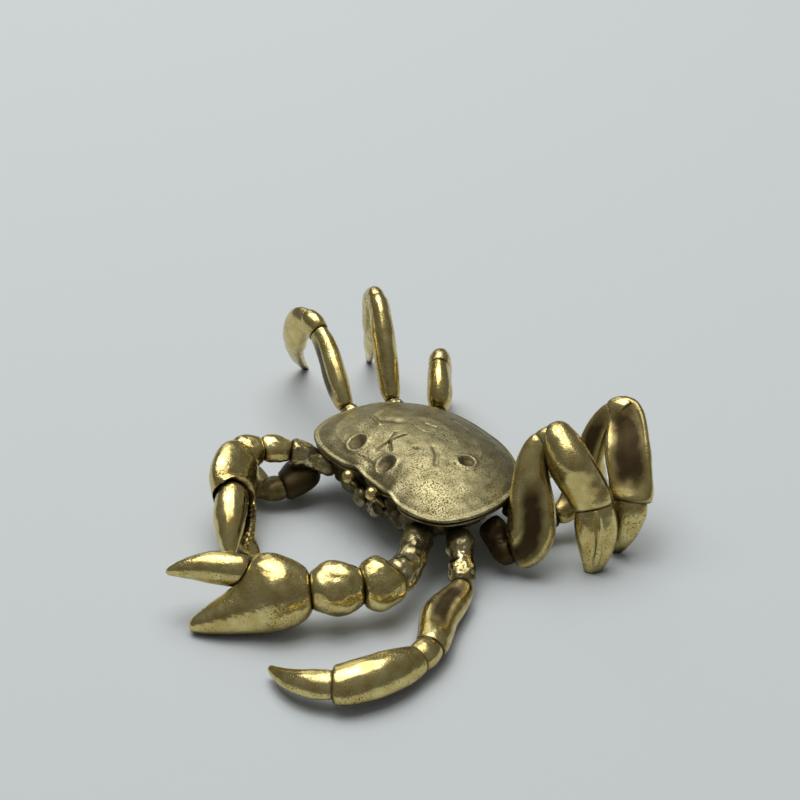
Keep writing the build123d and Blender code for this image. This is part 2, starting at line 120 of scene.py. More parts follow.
# Pieces of a limb: cross-section, length, width, height, and rows of place along the piece, width,
# height and lift towards the upper ridge, as shares. A piece whose last row is narrower than the
# width below ends in a tip.
KINDS = {
    "hip": (ROUNDED, 5.6, 3.1, 3.3, (
        (0.00, 0.80, 0.80, 0.00), (0.14, 1.04, 1.04, 0.00), (0.32, 1.08, 1.10, 0.04),
        (0.50, 0.78, 0.78, 0.00), (0.66, 1.02, 1.06, 0.05), (0.86, 0.98, 1.02, 0.00),
        (1.00, 0.66, 0.66, 0.00))),
    "thigh": (RIDGED, 12.5, 3.3, 4.6, (
        (0.00, 0.60, 0.50, 0.00), (0.08, 0.80, 0.70, 0.00), (0.28, 1.00, 0.98, 0.03),
        (0.52, 1.00, 1.00, 0.05), (0.78, 0.90, 0.88, 0.03), (0.94, 0.86, 0.82, 0.00),
        (0.985, 0.82, 0.78, 0.00), (1.00, 0.72, 0.68, 0.00))),
    "knee": (ROUNDED, 2.5, 3.0, 3.7, (
        (0.00, 0.84, 0.86, 0.00), (0.10, 0.92, 0.94, 0.00), (0.50, 1.02, 1.02, 0.00),
        (0.90, 0.92, 0.94, 0.00), (1.00, 0.84, 0.86, 0.00))),
    "shin": (RIDGED, 10.0, 3.3, 5.2, (
        (0.00, 0.78, 0.60, 0.00), (0.03, 0.84, 0.70, 0.00), (0.12, 0.92, 0.80, 0.00),
        (0.30, 1.00, 0.96, 0.04), (0.60, 1.00, 1.00, 0.04), (0.86, 0.97, 0.95, 0.00),
        (0.97, 0.94, 0.92, 0.00), (1.00, 0.84, 0.82, 0.00))),
    "toe": (RIDGED, 8.6, 2.8, 4.8, (
        (0.00, 0.92, 0.90, 0.00), (0.04, 0.98, 0.97, 0.00), (0.22, 1.00, 1.00, 0.00),
        (0.48, 0.84, 0.82, 0.00), (0.74, 0.58, 0.54, 0.00), (0.92, 0.36, 0.30, 0.00),
        (1.00, 0.20, 0.16, 0.00))),
    "shoulder": (ROUNDED, 6.8, 3.3, 3.8, (
        (0.00, 0.94, 0.90, 0.00), (0.16, 1.10, 1.08, 0.00), (0.40, 0.94, 0.92, 0.00),
        (0.66, 1.04, 1.00, 0.00), (0.90, 1.26, 1.20, 0.00), (1.00, 1.10, 1.06, 0.00))),
    "arm": (ROUNDED, 6.4, 4.8, 6.2, (
        (0.00, 0.78, 0.70, 0.00), (0.18, 0.90, 0.86, 0.03), (0.50, 1.00, 1.00, 0.04),
        (0.82, 0.90, 0.88, 0.02), (1.00, 0.66, 0.62, 0.00))),
    "wrist": (ROUNDED, 5.0, 5.6, 6.9, (
        (0.00, 0.60, 0.56, 0.00), (0.14, 0.84, 0.78, 0.00), (0.42, 1.00, 1.00, 0.00),
        (0.70, 0.96, 0.96, 0.00), (0.90, 0.80, 0.74, 0.00), (1.00, 0.66, 0.58, 0.00))),
    "palm": (RIDGED, 15.0, 5.8, 10.0, (
        (0.00, 0.66, 0.46, 0.00), (0.06, 0.84, 0.70, 0.00), (0.20, 1.00, 0.94, 0.00),
        (0.36, 1.00, 1.00, 0.00), (0.48, 0.92, 0.90, -0.08), (0.60, 0.80, 0.60, -0.34),
        (0.76, 0.66, 0.44, -0.42), (0.88, 0.50, 0.32, -0.44), (0.96, 0.36, 0.22, -0.47),
        (1.00, 0.22, 0.12, -0.49))),
    "finger": (ROUNDED, 10.0, 4.0, 4.2, (
        (0.00, 0.60, 0.70, 0.00), (0.03, 0.80, 0.88, 0.00), (0.10, 0.95, 0.97, 0.00),
        (0.36, 1.00, 1.00, 0.06), (0.62, 0.84, 0.78, 0.10), (0.84, 0.52, 0.46, 0.06),
        (1.00, 0.22, 0.18, 0.00))),
}
TIP_WIDTH = 0.3
LEG_KINDS = ("hip", "thigh", "knee", "shin", "toe")
CLAW_KINDS = ("shoulder", "arm", "wrist", "palm")
BRAZED_KINDS = ("hip", "shoulder")
LUMPY_KINDS = ("arm", "wrist")

# Hollowed or ridged broad sides: which side, depth in mm with a ridge's below zero, breadth, and
# from where to where, as shares.
DISHES = {
    "left_leg_3_shin": ((1, 1.05, 0.74, 0.12, 0.94),),
    "left_leg_2_thigh": ((1, 0.75, 0.62, -0.05, 0.62),),
    "left_leg_3_thigh": ((1, 0.60, 0.55, 0.10, 0.95),),
    "left_leg_1_thigh": ((1, 0.35, 0.45, 0.05, 0.80),),
    "left_leg_2_toe": ((1, -0.45, 0.16, 0.05, 0.80),),
    "right_leg_2_thigh": ((1, 0.30, 0.40, 0.15, 0.90),),
}

# Girth at a piece's start and at its end, where it differs from its fellows.
TAPERS = {
    "left_leg_1_shin": (0.98, 0.98), "left_leg_2_thigh": (1.62, 0.78),
    "left_leg_2_knee": (0.90, 0.90), "left_leg_2_shin": (1.08, 1.06),
    "left_leg_2_toe": (1.02, 1.50), "left_leg_3_thigh": (1.20, 0.90),
    "left_leg_3_knee": (0.90, 0.90), "left_leg_3_shin": (0.96, 1.06),
    "left_leg_3_toe": (1.00, 1.40), "right_leg_1_thigh": (1.30, 1.25),
    "left_claw_arm": (1.12, 1.08), "right_claw_arm": (1.05, 1.20),
    "right_claw_wrist": (1.05, 1.10),
}

# Shins that wrap over their knees, and a hand that wraps over its wrist, by how many mm, and the
# share of the length in which such a piece closes to a round end.
WRAPS = {"left_leg_2_shin": 2.1, "left_leg_3_shin": 1.9, "right_claw_palm": 2.0}
WRAP_ROUNDING = 0.17

# Pieces in the shade of the back, darkened all over with painted shade: its share, on the same
# scale as patina.
PAINTED_SHADE = {
    "left_leg_2_hip": 1.3, "left_leg_3_hip": 1.2, "right_leg_1_hip": 1.2,
    "right_leg_1_thigh": 1.1, "right_leg_1_knee": 0.8, "right_leg_1_shin": 0.7,
}

# Swellings of a broad side: how much in mm, where along the piece and how far they reach.
SWELLS = {
    "left_leg_2_shin": (1.45, 0.46, 0.30), "left_leg_1_shin": (0.4, 0.50, 0.40),
    "left_leg_1_toe": (0.4, 0.35, 0.35), "left_claw_palm": (0.6, 0.26, 0.16),
}

# A subdivided ring lies inside its corners, so each ring is made this much larger, and each piece
# reaches this far into its neighbours.
RING_SHARE = 1.05
REACH = 0.22

# Patina at both ends of every piece, and darkening where a limb is brazed on, darker towards the
# body:
# its share, and how far it fades, in mm from a seam and as a share of the length from the body.
SEAM_FILM, SEAM_WIDTH = 0.95, 0.16
ROOT_DARKENING, ROOT_DARKENING_REACH = 0.9, 0.26
DISH_FILM = 1.1

# Uneven skin: grain and depth in mm, the coarse one first.
BRAZED_SKIN = ((1.3, 0.46), (0.4, 0.07))
LUMPY_SKIN = ((3.0, 0.62), (0.5, 0.045))
PLAIN_SKIN = ((3.0, 0.22), (0.5, 0.045))
BACK_SKIN = ((4.0, 0.16), (0.9, 0.035))
BODY_SKIN = ((1.4, 0.7), (0.5, 0.3))

# Hip as shares of half the back, the directions that the thin sides of the upper and lower leg
# face, and the pose: length and girth shares, arch share, heading and pitch. A heading of 0 is +X,
# 90 is +Y.
LEGS = {
    "left_leg_1": ((0.83, -0.42), (-45, 50), (-20, 66), (
        (1.32, 1.00, 0.00, -36, -23), (1.05, 1.10, 0.08, -54, 0), (1.14, 1.00, 0.00, -69, 2),
        (1.09, 1.12, 0.00, -98, 2), (1.06, 0.84, 0.00, -162, -9))),
    "left_leg_2": ((0.85, 0.03), (-30, 27), (-30, 27), (
        (0.91, 1.00, 0.00, 5, -28), (1.13, 1.06, 0.00, 115, 58), (0.90, 0.88, 0.00, 50, 12),
        (0.93, 1.05, 0.06, 8, -53), (1.03, 1.05, 0.00, -41, -74))),
    "left_leg_3": ((0.71, 0.48), (-70, 38), (-50, 34), (
        (1.21, 1.00, 0.00, 55, -19), (1.19, 0.88, 0.00, 94, 51), (0.75, 1.00, 0.00, 26, 16),
        (1.13, 1.12, 0.05, -36, -44), (0.89, 0.95, 0.03, -118, -76))),
    "left_leg_4": ((0.52, 0.75), (2, 0), (2, 0), (
        (0.61, 0.90, 0.00, 83, 3), (0.42, 0.80, 0.00, 90, 11), (0.80, 0.90, 0.00, 90, -18),
        (0.43, 0.75, 0.00, 90, -44), (0.47, 0.85, 0.00, 94, -50))),
    "right_leg_1": ((-0.83, -0.42), (-135, 70), (-135, 70), (
        (0.82, 0.92, 0.00, -96, -18), (0.39, 1.05, 0.00, -88, -14), (0.90, 1.05, 0.00, -127, -8),
        (0.66, 0.95, 0.00, -175, 0), (0.61, 0.90, 0.00, 145, -31))),
    "right_leg_2": ((-0.85, 0.02), (-99, 2), (-75, 12), (
        (0.92, 0.90, 0.00, 178, 21), (0.93, 0.95, 0.00, 165, 31), (1.01, 1.00, 0.00, 178, 18),
        (0.81, 0.88, 0.00, 168, -47), (1.25, 0.75, 0.00, 130, -51))),
    "right_leg_3": ((-0.71, 0.48), (-115, 0), (-115, 0), (
        (0.88, 0.90, 0.00, 163, 27), (1.10, 0.95, 0.00, 155, 44), (0.76, 0.80, 0.00, 158, -9),
        (0.91, 0.80, 0.00, 146, -58), (1.38, 0.80, 0.00, 148, -52))),
    "right_leg_4": ((-0.52, 0.75), (-132, 0), (-132, 0), (
        (0.69, 0.90, 0.00, 130, 23), (0.52, 1.00, 0.00, 142, 30), (0.75, 1.00, 0.00, 137, -3),
        (0.61, 0.80, 0.00, 137, -53), (0.67, 0.85, 0.00, 135, -64))),
}

# Claws alike, with one direction each. The last row is the movable finger: its length and girth
# shares, its seat along the hand and above its middle, and how far its root turns up and its tip
# down against the hand.
CLAWS = {
    "left_claw": ((0.61, -0.76), (-45, 39), (
        (1.52, 1.00, 0.00, -56, -3), (0.67, 1.00, 0.00, -102, 4), (1.19, 1.00, 0.00, -119, -1),
        (0.99, 1.00, 0.03, -127, -8)), (1.00, 1.00, 0.48, 0.62, 14, -2)),
    "right_claw": ((-0.61, -0.76), (44, 28), (
        (0.89, 0.85, 0.00, -134, 17), (0.59, 0.56, 0.00, -115, 11), (0.65, 0.66, 0.00, -95, -2),
        (0.98, 0.84, 0.00, -29, -24)), (1.22, 1.28, 0.36, 0.20, 4, -10)),
}

# A closed claw's finger lies open in the hand's broad face and shows its teeth. Its seat is moved
# aside of the place that its row gives, and up, by so many mm.
FINGER_SHIFTS = {"right_claw": (0.9, -0.5)}

# Room round a movable finger, against its girth; how far the room is pulled out of the broad face,
# from how far above the finger's middle, in mm; and the grain in which the palm is cast, in mm.
ROOM_SHARE = 1.15
ROOM_PULL, ROOM_FACE = 4.0, 0.25
CAST_GRAIN = 0.12

# Arch round the closed claw's finger: height, distance from the finger and width of its rim, and
# distance and width of the dark band inside it, in mm, and how dark that band is: painted shade of
# the gap round the finger.
ARCH_HEIGHT, ARCH_PLACE, ARCH_WIDTH = 0.50, 0.78, 0.30
GROOVE_PLACE, GROOVE_WIDTH, GROOVE_PAINTED_SHADE = 0.12, 0.30, 1.2

# Teeth of the closed claw: how many, from where to where along the finger, their radius in mm,
# their place across and under the finger in shares of half its size, and how full the finger is
# along its length.
TEETH = 11
TEETH_RUN = (0.16, 0.94)
TOOTH_RADIUS = 0.38
TOOTH_PLACE = (0.85, 1.10)
FINGER_FULLNESS = ((0, 0.36, 0.62, 0.84, 1), (0.9, 1.0, 0.84, 0.5, 0.25))

# Places on the back as shares of its half width and half length. Dimples: place and size. Strokes:
# depth against a groove's, which is negative for a ridge, width in mm, and the line.
DIMPLES = ((-0.355, -0.694, 0.92), (0.056, -0.695, 0.92), (0.50, 0.09, 0.80))
STROKES = (
    (1.1, 0.15, ((-0.137, -0.636), (-0.129, -0.437), (-0.102, -0.211))),
    (1.0, 0.14, ((-0.183, -0.247), (-0.133, -0.425), (-0.024, -0.523))),
    (0.7, 0.34, ((0.213, -0.110), (0.309, -0.164), (0.394, -0.293))),
    (1.0, 0.20, ((0.110, -0.285), (0.130, -0.285))),
    (-1.1, 0.22, ((-0.640, 0.300), (-0.561, -0.230), (-0.390, -0.289))),
    (0.9, 0.50, ((-0.456, -0.200), (-0.302, -0.075))),
    (0.6, 0.12, ((-0.136, 0.170), (-0.037, 0.218))),
    (0.6, 0.14, ((-0.108, 0.595), (0.098, 0.598))),
    (0.4, 0.10, ((-0.156, 0.015), (-0.020, 0.020))),
)

# Raised rim round a dimple: height in mm, distance in dimple radii and width in mm; and the patina
# in all these marks, which is full at a dimple's depth divided by the second number.
DIMPLE_RIM = (0.13, 1.25, 0.26)
MARK_FILM, MARK_GAIN = 0.85, 1.3

# Eye hollows along the front edge, in shares of the half width, and the brows over them: from how
# far forward they start and over how much they rise, as shares, and in mm their width, their
# height and how far the edge steps back under them.
ORBITS = (-0.15, 0.34)
BROW_START, BROW_BLEND = 0.80, 0.15
BROW_WIDTH, BROW_RISE, BROW_NOTCH = 1.25, 0.55, 1.1

# Face of the body, in mm: how far back its relief fades, the eye hollows' depth, radius and drop
# under the edge, the height, distance, width and drop of the lid round them, and the height of the
# upright folds and the drop at which they start. The hollows are wider than high by a share. The
# patina of the face is added to that of the whole body.
FACE_REACH = 1.2
ORBIT_DEPTH, ORBIT_RADIUS, ORBIT_DROP, ORBIT_BROAD = 1.5, 1.1, 0.9, 1.2
LID_HEIGHT, LID_PLACE, LID_WIDTH, LID_DROP = 0.55, 1.75, 0.35, 0.6
FOLD_HEIGHT, FOLD_DROP = 0.28, 1.6
BODY_FILM, FACE_FILM = 0.35, 0.4

# Brasses, named for how they were made and worn. Each row has the setting with the metal's colour,
# the dull colour in its clouds, the size of its pits in mm, how much of it is pitted, how dark the
# pits are, what share of that is left where it was rubbed, how much the clouds cover, and its
# roughness.
BRASSES = {
    # Darkened, then rubbed and polished: warm gold with cream highlights and few fine specks.
    "polished_antique_brass": ("brass", "#AE9044", 0.23, 0.08, 0.7, 0.12, 0.65, 0.15),
    # Run over with braze: silvery and lumpy, with larger pits.
    "brazed_brass": ("braze", "#9A8A55", 0.36, 0.07, 0.8, 0.2, 0.9, 0.18),
    # As cast and hardly rubbed: olive and half matt, thick with fine dark pits.
    "dulled_cast_brass": ("old_brass", "#7C7350", 0.20, 0.12, 0.85, 0.5, 0.9, 0.38),
    # Left rough from the mould: brown-black, with bright lumps where something touched it.
    "rough_cast_brass": ("old_brass", "#4C4230", 0.5, 0.15, 1.0, 0.5, 1.0, 0.26),
}

# Patterns of all the brasses, in mm: places rubbed more and less, how far the ambient occlusion
# looks, which darkens hollows with patina and paints shade between pieces and under them, clouds of
# tarnish, the grain of the cast skin, and the depth of the pits. The grain is about as fine as the
# render can show, and breaks up the highlights.
RUBBED_SIZE = 3.5
HOLLOW_AND_SHADE_REACH = 2.6
CLOUD_SIZE = 1.6
GRAIN_SIZE = 0.16
PIT_DEPTH = 0.03


def linear(code):
    """Linear colour of an sRGB hex value."""
    shares = [int(code[k:k + 2], 16) / 255 for k in (1, 3, 5)]
    return [c / 12.92 if c <= 0.04045 else ((c + 0.055) / 1.055) ** 2.4 for c in shares] + [1.0]


def way(heading, pitch):
    """Unit direction from a heading and a pitch in degrees."""
    level, turn = cos(radians(pitch)), radians(heading)
    return Vector((level * cos(turn), level * sin(turn), sin(radians(pitch))))


def table_middle():
    """Place on the table under the middle of the back, in millimetres."""
    low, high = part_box("carapace")
    return Vector(((low[0] + high[0]) / 2 / MM, (low[1] + high[1]) / 2 / MM, 0))


# Tools that work as by hand

def select_only(*pieces):
    """Selects these objects and nothing else, the first one active."""
    bpy.ops.object.select_all(action="DESELECT")
    for piece in pieces:
        piece.select_set(True)
    bpy.context.view_layer.objects.active = pieces[0]


def put_modifier(piece, kind, **values):
    """Adds a modifier with its settings and applies it."""
    select_only(piece)
    bpy.ops.object.modifier_add(type=kind)
    modifier = piece.modifiers[-1]
    for name, value in values.items():
        setattr(modifier, name, value)
    bpy.ops.object.modifier_apply(modifier=modifier.name)


def points_of(piece):
    """The mesh's points as rows of x, y, z, in millimetres."""
    flat = np.empty(3 * len(piece.data.vertices))
    piece.data.vertices.foreach_get("co", flat)
    return flat.reshape(-1, 3) / MM


def move_points(piece, points):
    """Puts the mesh's points at these places, in millimetres."""
    piece.data.vertices.foreach_set("co", (points * MM).ravel())
    piece.data.update()


def outwards(piece):
    """Merges doubled points and turns every face outwards."""
    select_only(piece)
    bpy.ops.object.mode_set(mode="EDIT")
    bpy.ops.mesh.select_all(action="SELECT")
    bpy.ops.mesh.remove_doubles(threshold=0.001 * MM)
    bpy.ops.mesh.normals_make_consistent(inside=False)
    bpy.ops.object.mode_set(mode="OBJECT")


def darken(piece, amounts):
    """Raises the share of patina and painted shade that the metal's material reads at each point.
    """
    layers = piece.data.attributes
    layer = layers.get("film") or layers.new("film", "FLOAT", "POINT")
    film = np.zeros(len(piece.data.vertices))
    layer.data.foreach_get("value", film)
    layer.data.foreach_set("value", np.maximum(film, amounts))


def hammer(piece, skin):
    """Makes the surface uneven, as cast and filed by hand: rows of grain and depth in mm."""
    for grain, depth in skin:
        name = f"uneven_{grain}"
        lumps = bpy.data.textures.get(name) or bpy.data.textures.new(name, "CLOUDS")
        lumps.noise_scale = grain * MM
        lumps.noise_depth = 2
        put_modifier(piece, "DISPLACE", texture=lumps, texture_coords="LOCAL",
                     strength=depth * MM, mid_level=0.5)


def finished(piece, name, node, material):
    """Names a piece, gives it its metal, and puts it in place of its CAD node."""
    piece.name = piece.data.name = name
    piece.data.materials.clear()
    piece.data.materials.append(material)
    select_only(piece)
    bpy.ops.object.shade_smooth()
    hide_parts(node)
    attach(piece, "root")


# Limbs

def blank(kind):
    """Straight limb piece along Z: a ring set to the cross-section, extruded row by row."""
    section, length, width, height, rows = KINDS[kind]
    bpy.ops.object.select_all(action="DESELECT")
    bpy.ops.mesh.primitive_circle_add(vertices=len(section), radius=width * MM, fill_type="NGON")
    piece = bpy.context.object
    piece.name = f"blank_{kind}"
    across = RING_SHARE * rows[0][1] * width / 2
    tall = RING_SHARE * rows[0][2] * height / 2
    for vertex, (u, v) in zip(piece.data.vertices, section):
        vertex.co = (u * across * MM, v * tall * MM, -REACH * MM)
    bpy.ops.object.mode_set(mode="EDIT")
    bpy.ops.mesh.select_all(action="SELECT")
    at = -REACH
    middle = 0
    for before, row in zip(rows, rows[1:]):
        place = row[0] * length + (REACH if row is rows[-1] and row[1] > TIP_WIDTH else 0)
        lift = row[3] * height / 2
        step = (0, (lift - middle) * MM, (place - at) * MM)
        bpy.ops.mesh.extrude_region_move(TRANSFORM_OT_translate={"value": step})
        bpy.ops.transform.resize(
            value=(row[1] / before[1], row[2] / before[2], 1),
            center_override=(0, lift * MM, place * MM),
        )
        at, middle = place, lift
    bpy.ops.object.mode_set(mode="OBJECT")
    outwards(piece)
    put_modifier(piece, "SUBSURF", levels=3, render_levels=3)
    z = points_of(piece)[:, 2]
    darken(piece, SEAM_FILM * (hollow(z, SEAM_WIDTH) + hollow(z - length, SEAM_WIDTH)))
    return piece


def seats_of(hip, pose, lengths):
    """Seats at every joint of a limb: its place, and the direction that runs through it."""
    chords = [way(*row[3:]) for row in pose]
    root = Vector((hip[0] * BACK_WIDTH / 2, hip[1] * BACK_LENGTH / 2, HIP_HEIGHT))
    places = [table_middle() + root]
    for row, length, chord in zip(pose, lengths, chords):
        places.append(places[-1] + chord * (row[0] * length))
    ways = [chords[0]]
    for before, after in zip(chords, chords[1:]):
        ways.append((before + after).normalized())
    ways.append(chords[-1] * (2 * ways[-1].dot(chords[-1])) - ways[-1])
    return list(zip(places, ways))


def curve(start, end, along):
    """Places and directions on the smooth curve between two seats, for an array of shares."""
    a, a_way = np.array(start[0]), np.array(start[1])
    b, b_way = np.array(end[0]), np.array(end[1])
    pull = np.linalg.norm(b - a)
    s = along[:, None]
    rest = 1 - s
    place = a * rest * rest * (1 + 2 * s) + a_way * pull * s * rest * rest
    place = place + b * s * s * (3 - 2 * s) - b_way * pull * s * s * rest
    slope = (b - a) * 6 * s * rest
    slope = slope + a_way * pull * rest * (1 - 3 * s) + b_way * pull * s * (3 * s - 2)
    return place, slope / np.linalg.norm(slope, axis=1)[:, None]


def lay(piece, kind, start, end, thin, girth, arch_share):
    """Bends a straight piece along the curve between its seats, and keeps it above the table."""
    points = points_of(piece)
    shares = points[:, 2] / KINDS[kind][1]
    place, along = curve(start, end, shares)
    thin = np.array(thin)
    side = thin - along * (along @ thin)[:, None]
    side = side / np.linalg.norm(side, axis=1)[:, None]
    up = np.cross(along, side)
    chord = (end[0] - start[0]).length
    inside = np.clip(shares, 0, 1)
    bend = 16 * (inside * (1 - inside)) ** 2 * arch_share * chord  # 16 makes it 1 in the middle
    laid = place + side * (girth * points[:, :1]) + up * (girth * points[:, 1:2] + bend[:, None])
    laid[:, 2] = np.maximum(laid[:, 2], 0)
    move_points(piece, laid)


def copy_of(original, name):
    """A copy with a mesh of its own."""
    piece = original.copy()
    piece.data = original.data.copy()
    piece.name = name
    bpy.context.collection.objects.link(piece)
    return piece


def dish(piece, kind, side, depth, breadth, low, high):
    """Hollows one broad side of a straight piece between two shares of its length, which leaves a
    rim all round. A negative depth raises a ridge."""
    length, width, height = KINDS[kind][1:4]
    points = points_of(piece)
    # Whole over all but the edges of that side
    facing = np.clip(side * points[:, 0] / (width / 2) * 1.6, 0, 1)
    across = np.exp(-((points[:, 1] / (height / 2) / breadth) ** 4))
    share = points[:, 2] / length
    middle, reach = (low + high) / 2, (high - low) / 2
    dished = facing * across * np.exp(-(((share - middle) / reach) ** 6))
    points[:, 0] -= side * depth * dished
    move_points(piece, points)
    if depth > 0:
        darken(piece, DISH_FILM * dished)


def taper(piece, kind, first, last):
    """Makes a straight piece fuller or thinner from its start to its end."""
    points = points_of(piece)
    share = np.clip(points[:, 2:] / KINDS[kind][1], 0, 1)
    points[:, :2] *= first + (last - first) * share
    move_points(piece, points)


def swell(piece, kind, height, middle, reach):
    """Raises a soft swelling on a straight piece's broad side."""
    length, width = KINDS[kind][1:3]
    points = points_of(piece)
    facing = np.clip(points[:, 0] / (width / 2), 0, 1)
    points[:, 0] += height * facing * hollow(points[:, 2] / length - middle, reach)
    move_points(piece, points)


def round_start(piece, kind):
    """Closes the start of a straight piece with a round end."""
    points = points_of(piece)
    share = np.clip((points[:, 2:] + REACH) / (WRAP_ROUNDING * KINDS[kind][1]), 0, 1)
    # The end keeps a fiftieth of its width, so that its faces don't collapse
    points[:, :2] *= np.sqrt(share * (2 - share)) * 0.98 + 0.02
    move_points(piece, points)


def stand_on_table(piece):
    """Files off what is under the table."""
    points = points_of(piece)
    points[:, 2] = np.maximum(points[:, 2], 0)
    move_points(piece, points)


def shape_straight(piece, kind, title):
    """Gives a straight piece its own taper, swelling, hollows and patina."""
    taper(piece, kind, *TAPERS.get(title, (1, 1)))
    if title in SWELLS:
        swell(piece, kind, *SWELLS[title])
    for face in DISHES.get(title, ()):
        dish(piece, kind, *face)
    # Hips and shoulders are darker towards the body at their root
    if kind in BRAZED_KINDS:
        share = points_of(piece)[:, 2] / KINDS[kind][1]
        darken(piece, ROOT_DARKENING * hollow(np.clip(share, 0, 1), ROOT_DARKENING_REACH))
    # Painted shade over the whole of a piece that lies in the shade of the back
    darken(piece, PAINTED_SHADE.get(title, 0))
    if title in WRAPS:
        round_start(piece, kind)


def limb_pieces(name, hip, thins, pose, kinds, blanks):
    """All the pieces of a limb, but a claw's palm and movable finger aren't finished yet."""
    seats = seats_of(hip, pose, [KINDS[kind][1] for kind in kinds])
    made = {}
    for number, kind in enumerate(kinds):
        title = f"{name}_{kind}"
        piece = copy_of(blanks[kind], f"{title}_cast")
        shape_straight(piece, kind, title)
        girth, arch = pose[number][1:3]
        place, along = seats[number]
        start = (place - along * WRAPS.get(title, 0), along)
        lay(piece, kind, start, seats[number + 1], thins[number], girth, arch)
        made[kind] = piece
        if kind != "palm":
            cast_skin(piece, kind)
            finish = "brazed_brass" if kind in BRAZED_KINDS else "polished_antique_brass"
            finished(piece, piece.name, title, antique_brass(finish))
    return seats, made


def cast_skin(piece, kind):
    """The uneven skin of a casting, in small facets where a limb is brazed on."""
    if kind in BRAZED_KINDS:
        hammer(piece, BRAZED_SKIN)
    else:
        hammer(piece, LUMPY_SKIN if kind in LUMPY_KINDS else PLAIN_SKIN)
    stand_on_table(piece)


def movable_finger(name, seats, thin, girth, row, blanks, palm):
    """The movable finger, in a seat that is cut in the palm, and both with their cast skin."""
    length_share, girth_share, seat_share, rise_share, root_turn, tip_turn = row
    place, along = curve(seats[3], seats[4], np.array([seat_share]))
    along = Vector(along[0])
    side = (thin - along * thin.dot(along)).normalized()
    up = along.cross(side)
    closed = name in FINGER_SHIFTS
    root = Vector(place[0]) + up * (rise_share * girth * KINDS["palm"][3] / 2)
    if closed:
        root += side * FINGER_SHIFTS[name][0] + up * FINGER_SHIFTS[name][1]
    root_way, tip_way = (
        along * cos(radians(angle)) + up * sin(radians(angle)) for angle in (root_turn, tip_turn)
    )
    reach = length_share * girth * KINDS["finger"][1]
    seat, tip = (root, root_way), (root + (root_way + tip_way).normalized() * reach, tip_way)
    size = girth * girth_share
    finger = copy_of(blanks["finger"], f"{name}_finger_cast")
    lay(finger, "finger", seat, tip, thin, size, 0)
    room = copy_of(blanks["finger"], f"{name}_finger_room")
    lay(room, "finger", seat, tip, thin, size * ROOM_SHARE, 0)
    if closed:
        open_room(room, root, side)
    put_modifier(palm, "BOOLEAN", object=room, operation="DIFFERENCE", solver="EXACT")
    bpy.data.objects.remove(room)
    if closed:
        add_teeth(palm, seat, tip, thin, size)
    put_modifier(palm, "REMESH", mode="VOXEL", voxel_size=CAST_GRAIN * MM)
    put_modifier(palm, "SMOOTH", factor=0.5, iterations=3)
    if closed:
        raise_arch(palm, root, root_way, side, size * KINDS["finger"][3] / 2)
    for piece, kind in ((palm, "palm"), (finger, "finger")):
        cast_skin(piece, kind)
        finished(piece, f"{name}_{kind}_cast", f"{name}_{kind}",
                 antique_brass("polished_antique_brass"))


def add_teeth(palm, seat, tip, thin, size):
    """Joins a row of round teeth to the palm, half sunk in it, along the finger."""
    half_width, half_height = size * KINDS["finger"][2] / 2, size * KINDS["finger"][3] / 2
    shares = np.linspace(*TEETH_RUN, TEETH)
    teeth = []
    for share, spot, direction in zip(shares, *curve(seat, tip, shares)):
        fullness = float(np.interp(share, *FINGER_FULLNESS))
        direction = Vector(direction)
        across = (thin - direction * thin.dot(direction)).normalized()
        above = direction.cross(across)
        middle = Vector(spot) + across * (half_width * fullness * TOOTH_PLACE[0])
        middle -= above * (half_height * fullness * TOOTH_PLACE[1])
        on_palm = palm.closest_point_on_mesh(middle * MM)[1]
        bpy.ops.object.select_all(action="DESELECT")
        bpy.ops.mesh.primitive_ico_sphere_add(
            subdivisions=2, radius=TOOTH_RADIUS * MM, location=on_palm)
        teeth.append(bpy.context.object)
    select_only(palm, *teeth)
    bpy.ops.object.join()


def open_room(room, root, side):
    """Pulls the room for a finger out of the hand's broad face, so that it lies open there."""
    points = points_of(room)
    off = (points - np.array(root)) @ np.array(side)
    points += np.array(side) * (ROOM_PULL * (off > ROOM_FACE))[:, None]
    move_points(room, points)


def raise_arch(palm, root, along, side, radius):
    """Raises a rim round the finger's seat on the hand's broad face, with a band of painted shade
    inside it, in the gap round the finger.
    """
    points = points_of(palm)
    off = points - np.array(root)
    run, rise, out = (off @ np.array(axis) for axis in (along, along.cross(side), side))
    gap = np.where(run < radius, np.hypot(run - radius, rise), np.abs(rise)) - radius
    facing = (out > 0) * np.clip(1.6 - run / radius / 2, 0, 1)  # it fades out along the finger
    rim = ARCH_HEIGHT * facing * hollow(gap - ARCH_PLACE, ARCH_WIDTH)
    points += np.array(side) * rim[:, None]
    move_points(palm, points)
    # Painted shade in the gap between the rim and the finger
    darken(palm, GROOVE_PAINTED_SHADE * facing * hollow(gap - GROOVE_PLACE, GROOVE_WIDTH))


# The back and the body

def smooth_outline(count):
    """So many places on the outline of the back, on a smooth curve through its points."""
    half = list(BACK_OUTLINE)
    whole = np.array(half + [(-u, v) for u, v in reversed(half[1:-1])])
    closed = np.vstack([whole, whole[:1]])
    steps = np.arange(len(closed))
    fine = np.linspace(0, len(whole), count, endpoint=False)
    places = []
    for axis in (0, 1):
        around = np.concatenate([closed[-4:-1, axis], closed[:, axis], closed[1:4, axis]])
        spots = np.concatenate([steps[-4:-1] - len(whole), steps, steps[1:4] + len(whole)])
        places.append(rounded(spots, around, fine))
    return np.column_stack(places)


def rounded(spots, values, wanted):
    """Values of a smooth curve through the given ones, as a draughtsman's spline gives them."""
    index = np.clip(np.searchsorted(spots, wanted, side="right") - 1, 1, len(spots) - 3)
    t = (wanted - spots[index]) / (spots[index + 1] - spots[index])
    p0, p1, p2, p3 = values[index - 1], values[index], values[index + 1], values[index + 2]
    return 0.5 * (
        2 * p1 + (p2 - p0) * t + (2 * p0 - 5 * p1 + 4 * p2 - p3) * t ** 2
        + (3 * p1 - p0 - 3 * p2 + p3) * t ** 3
    )


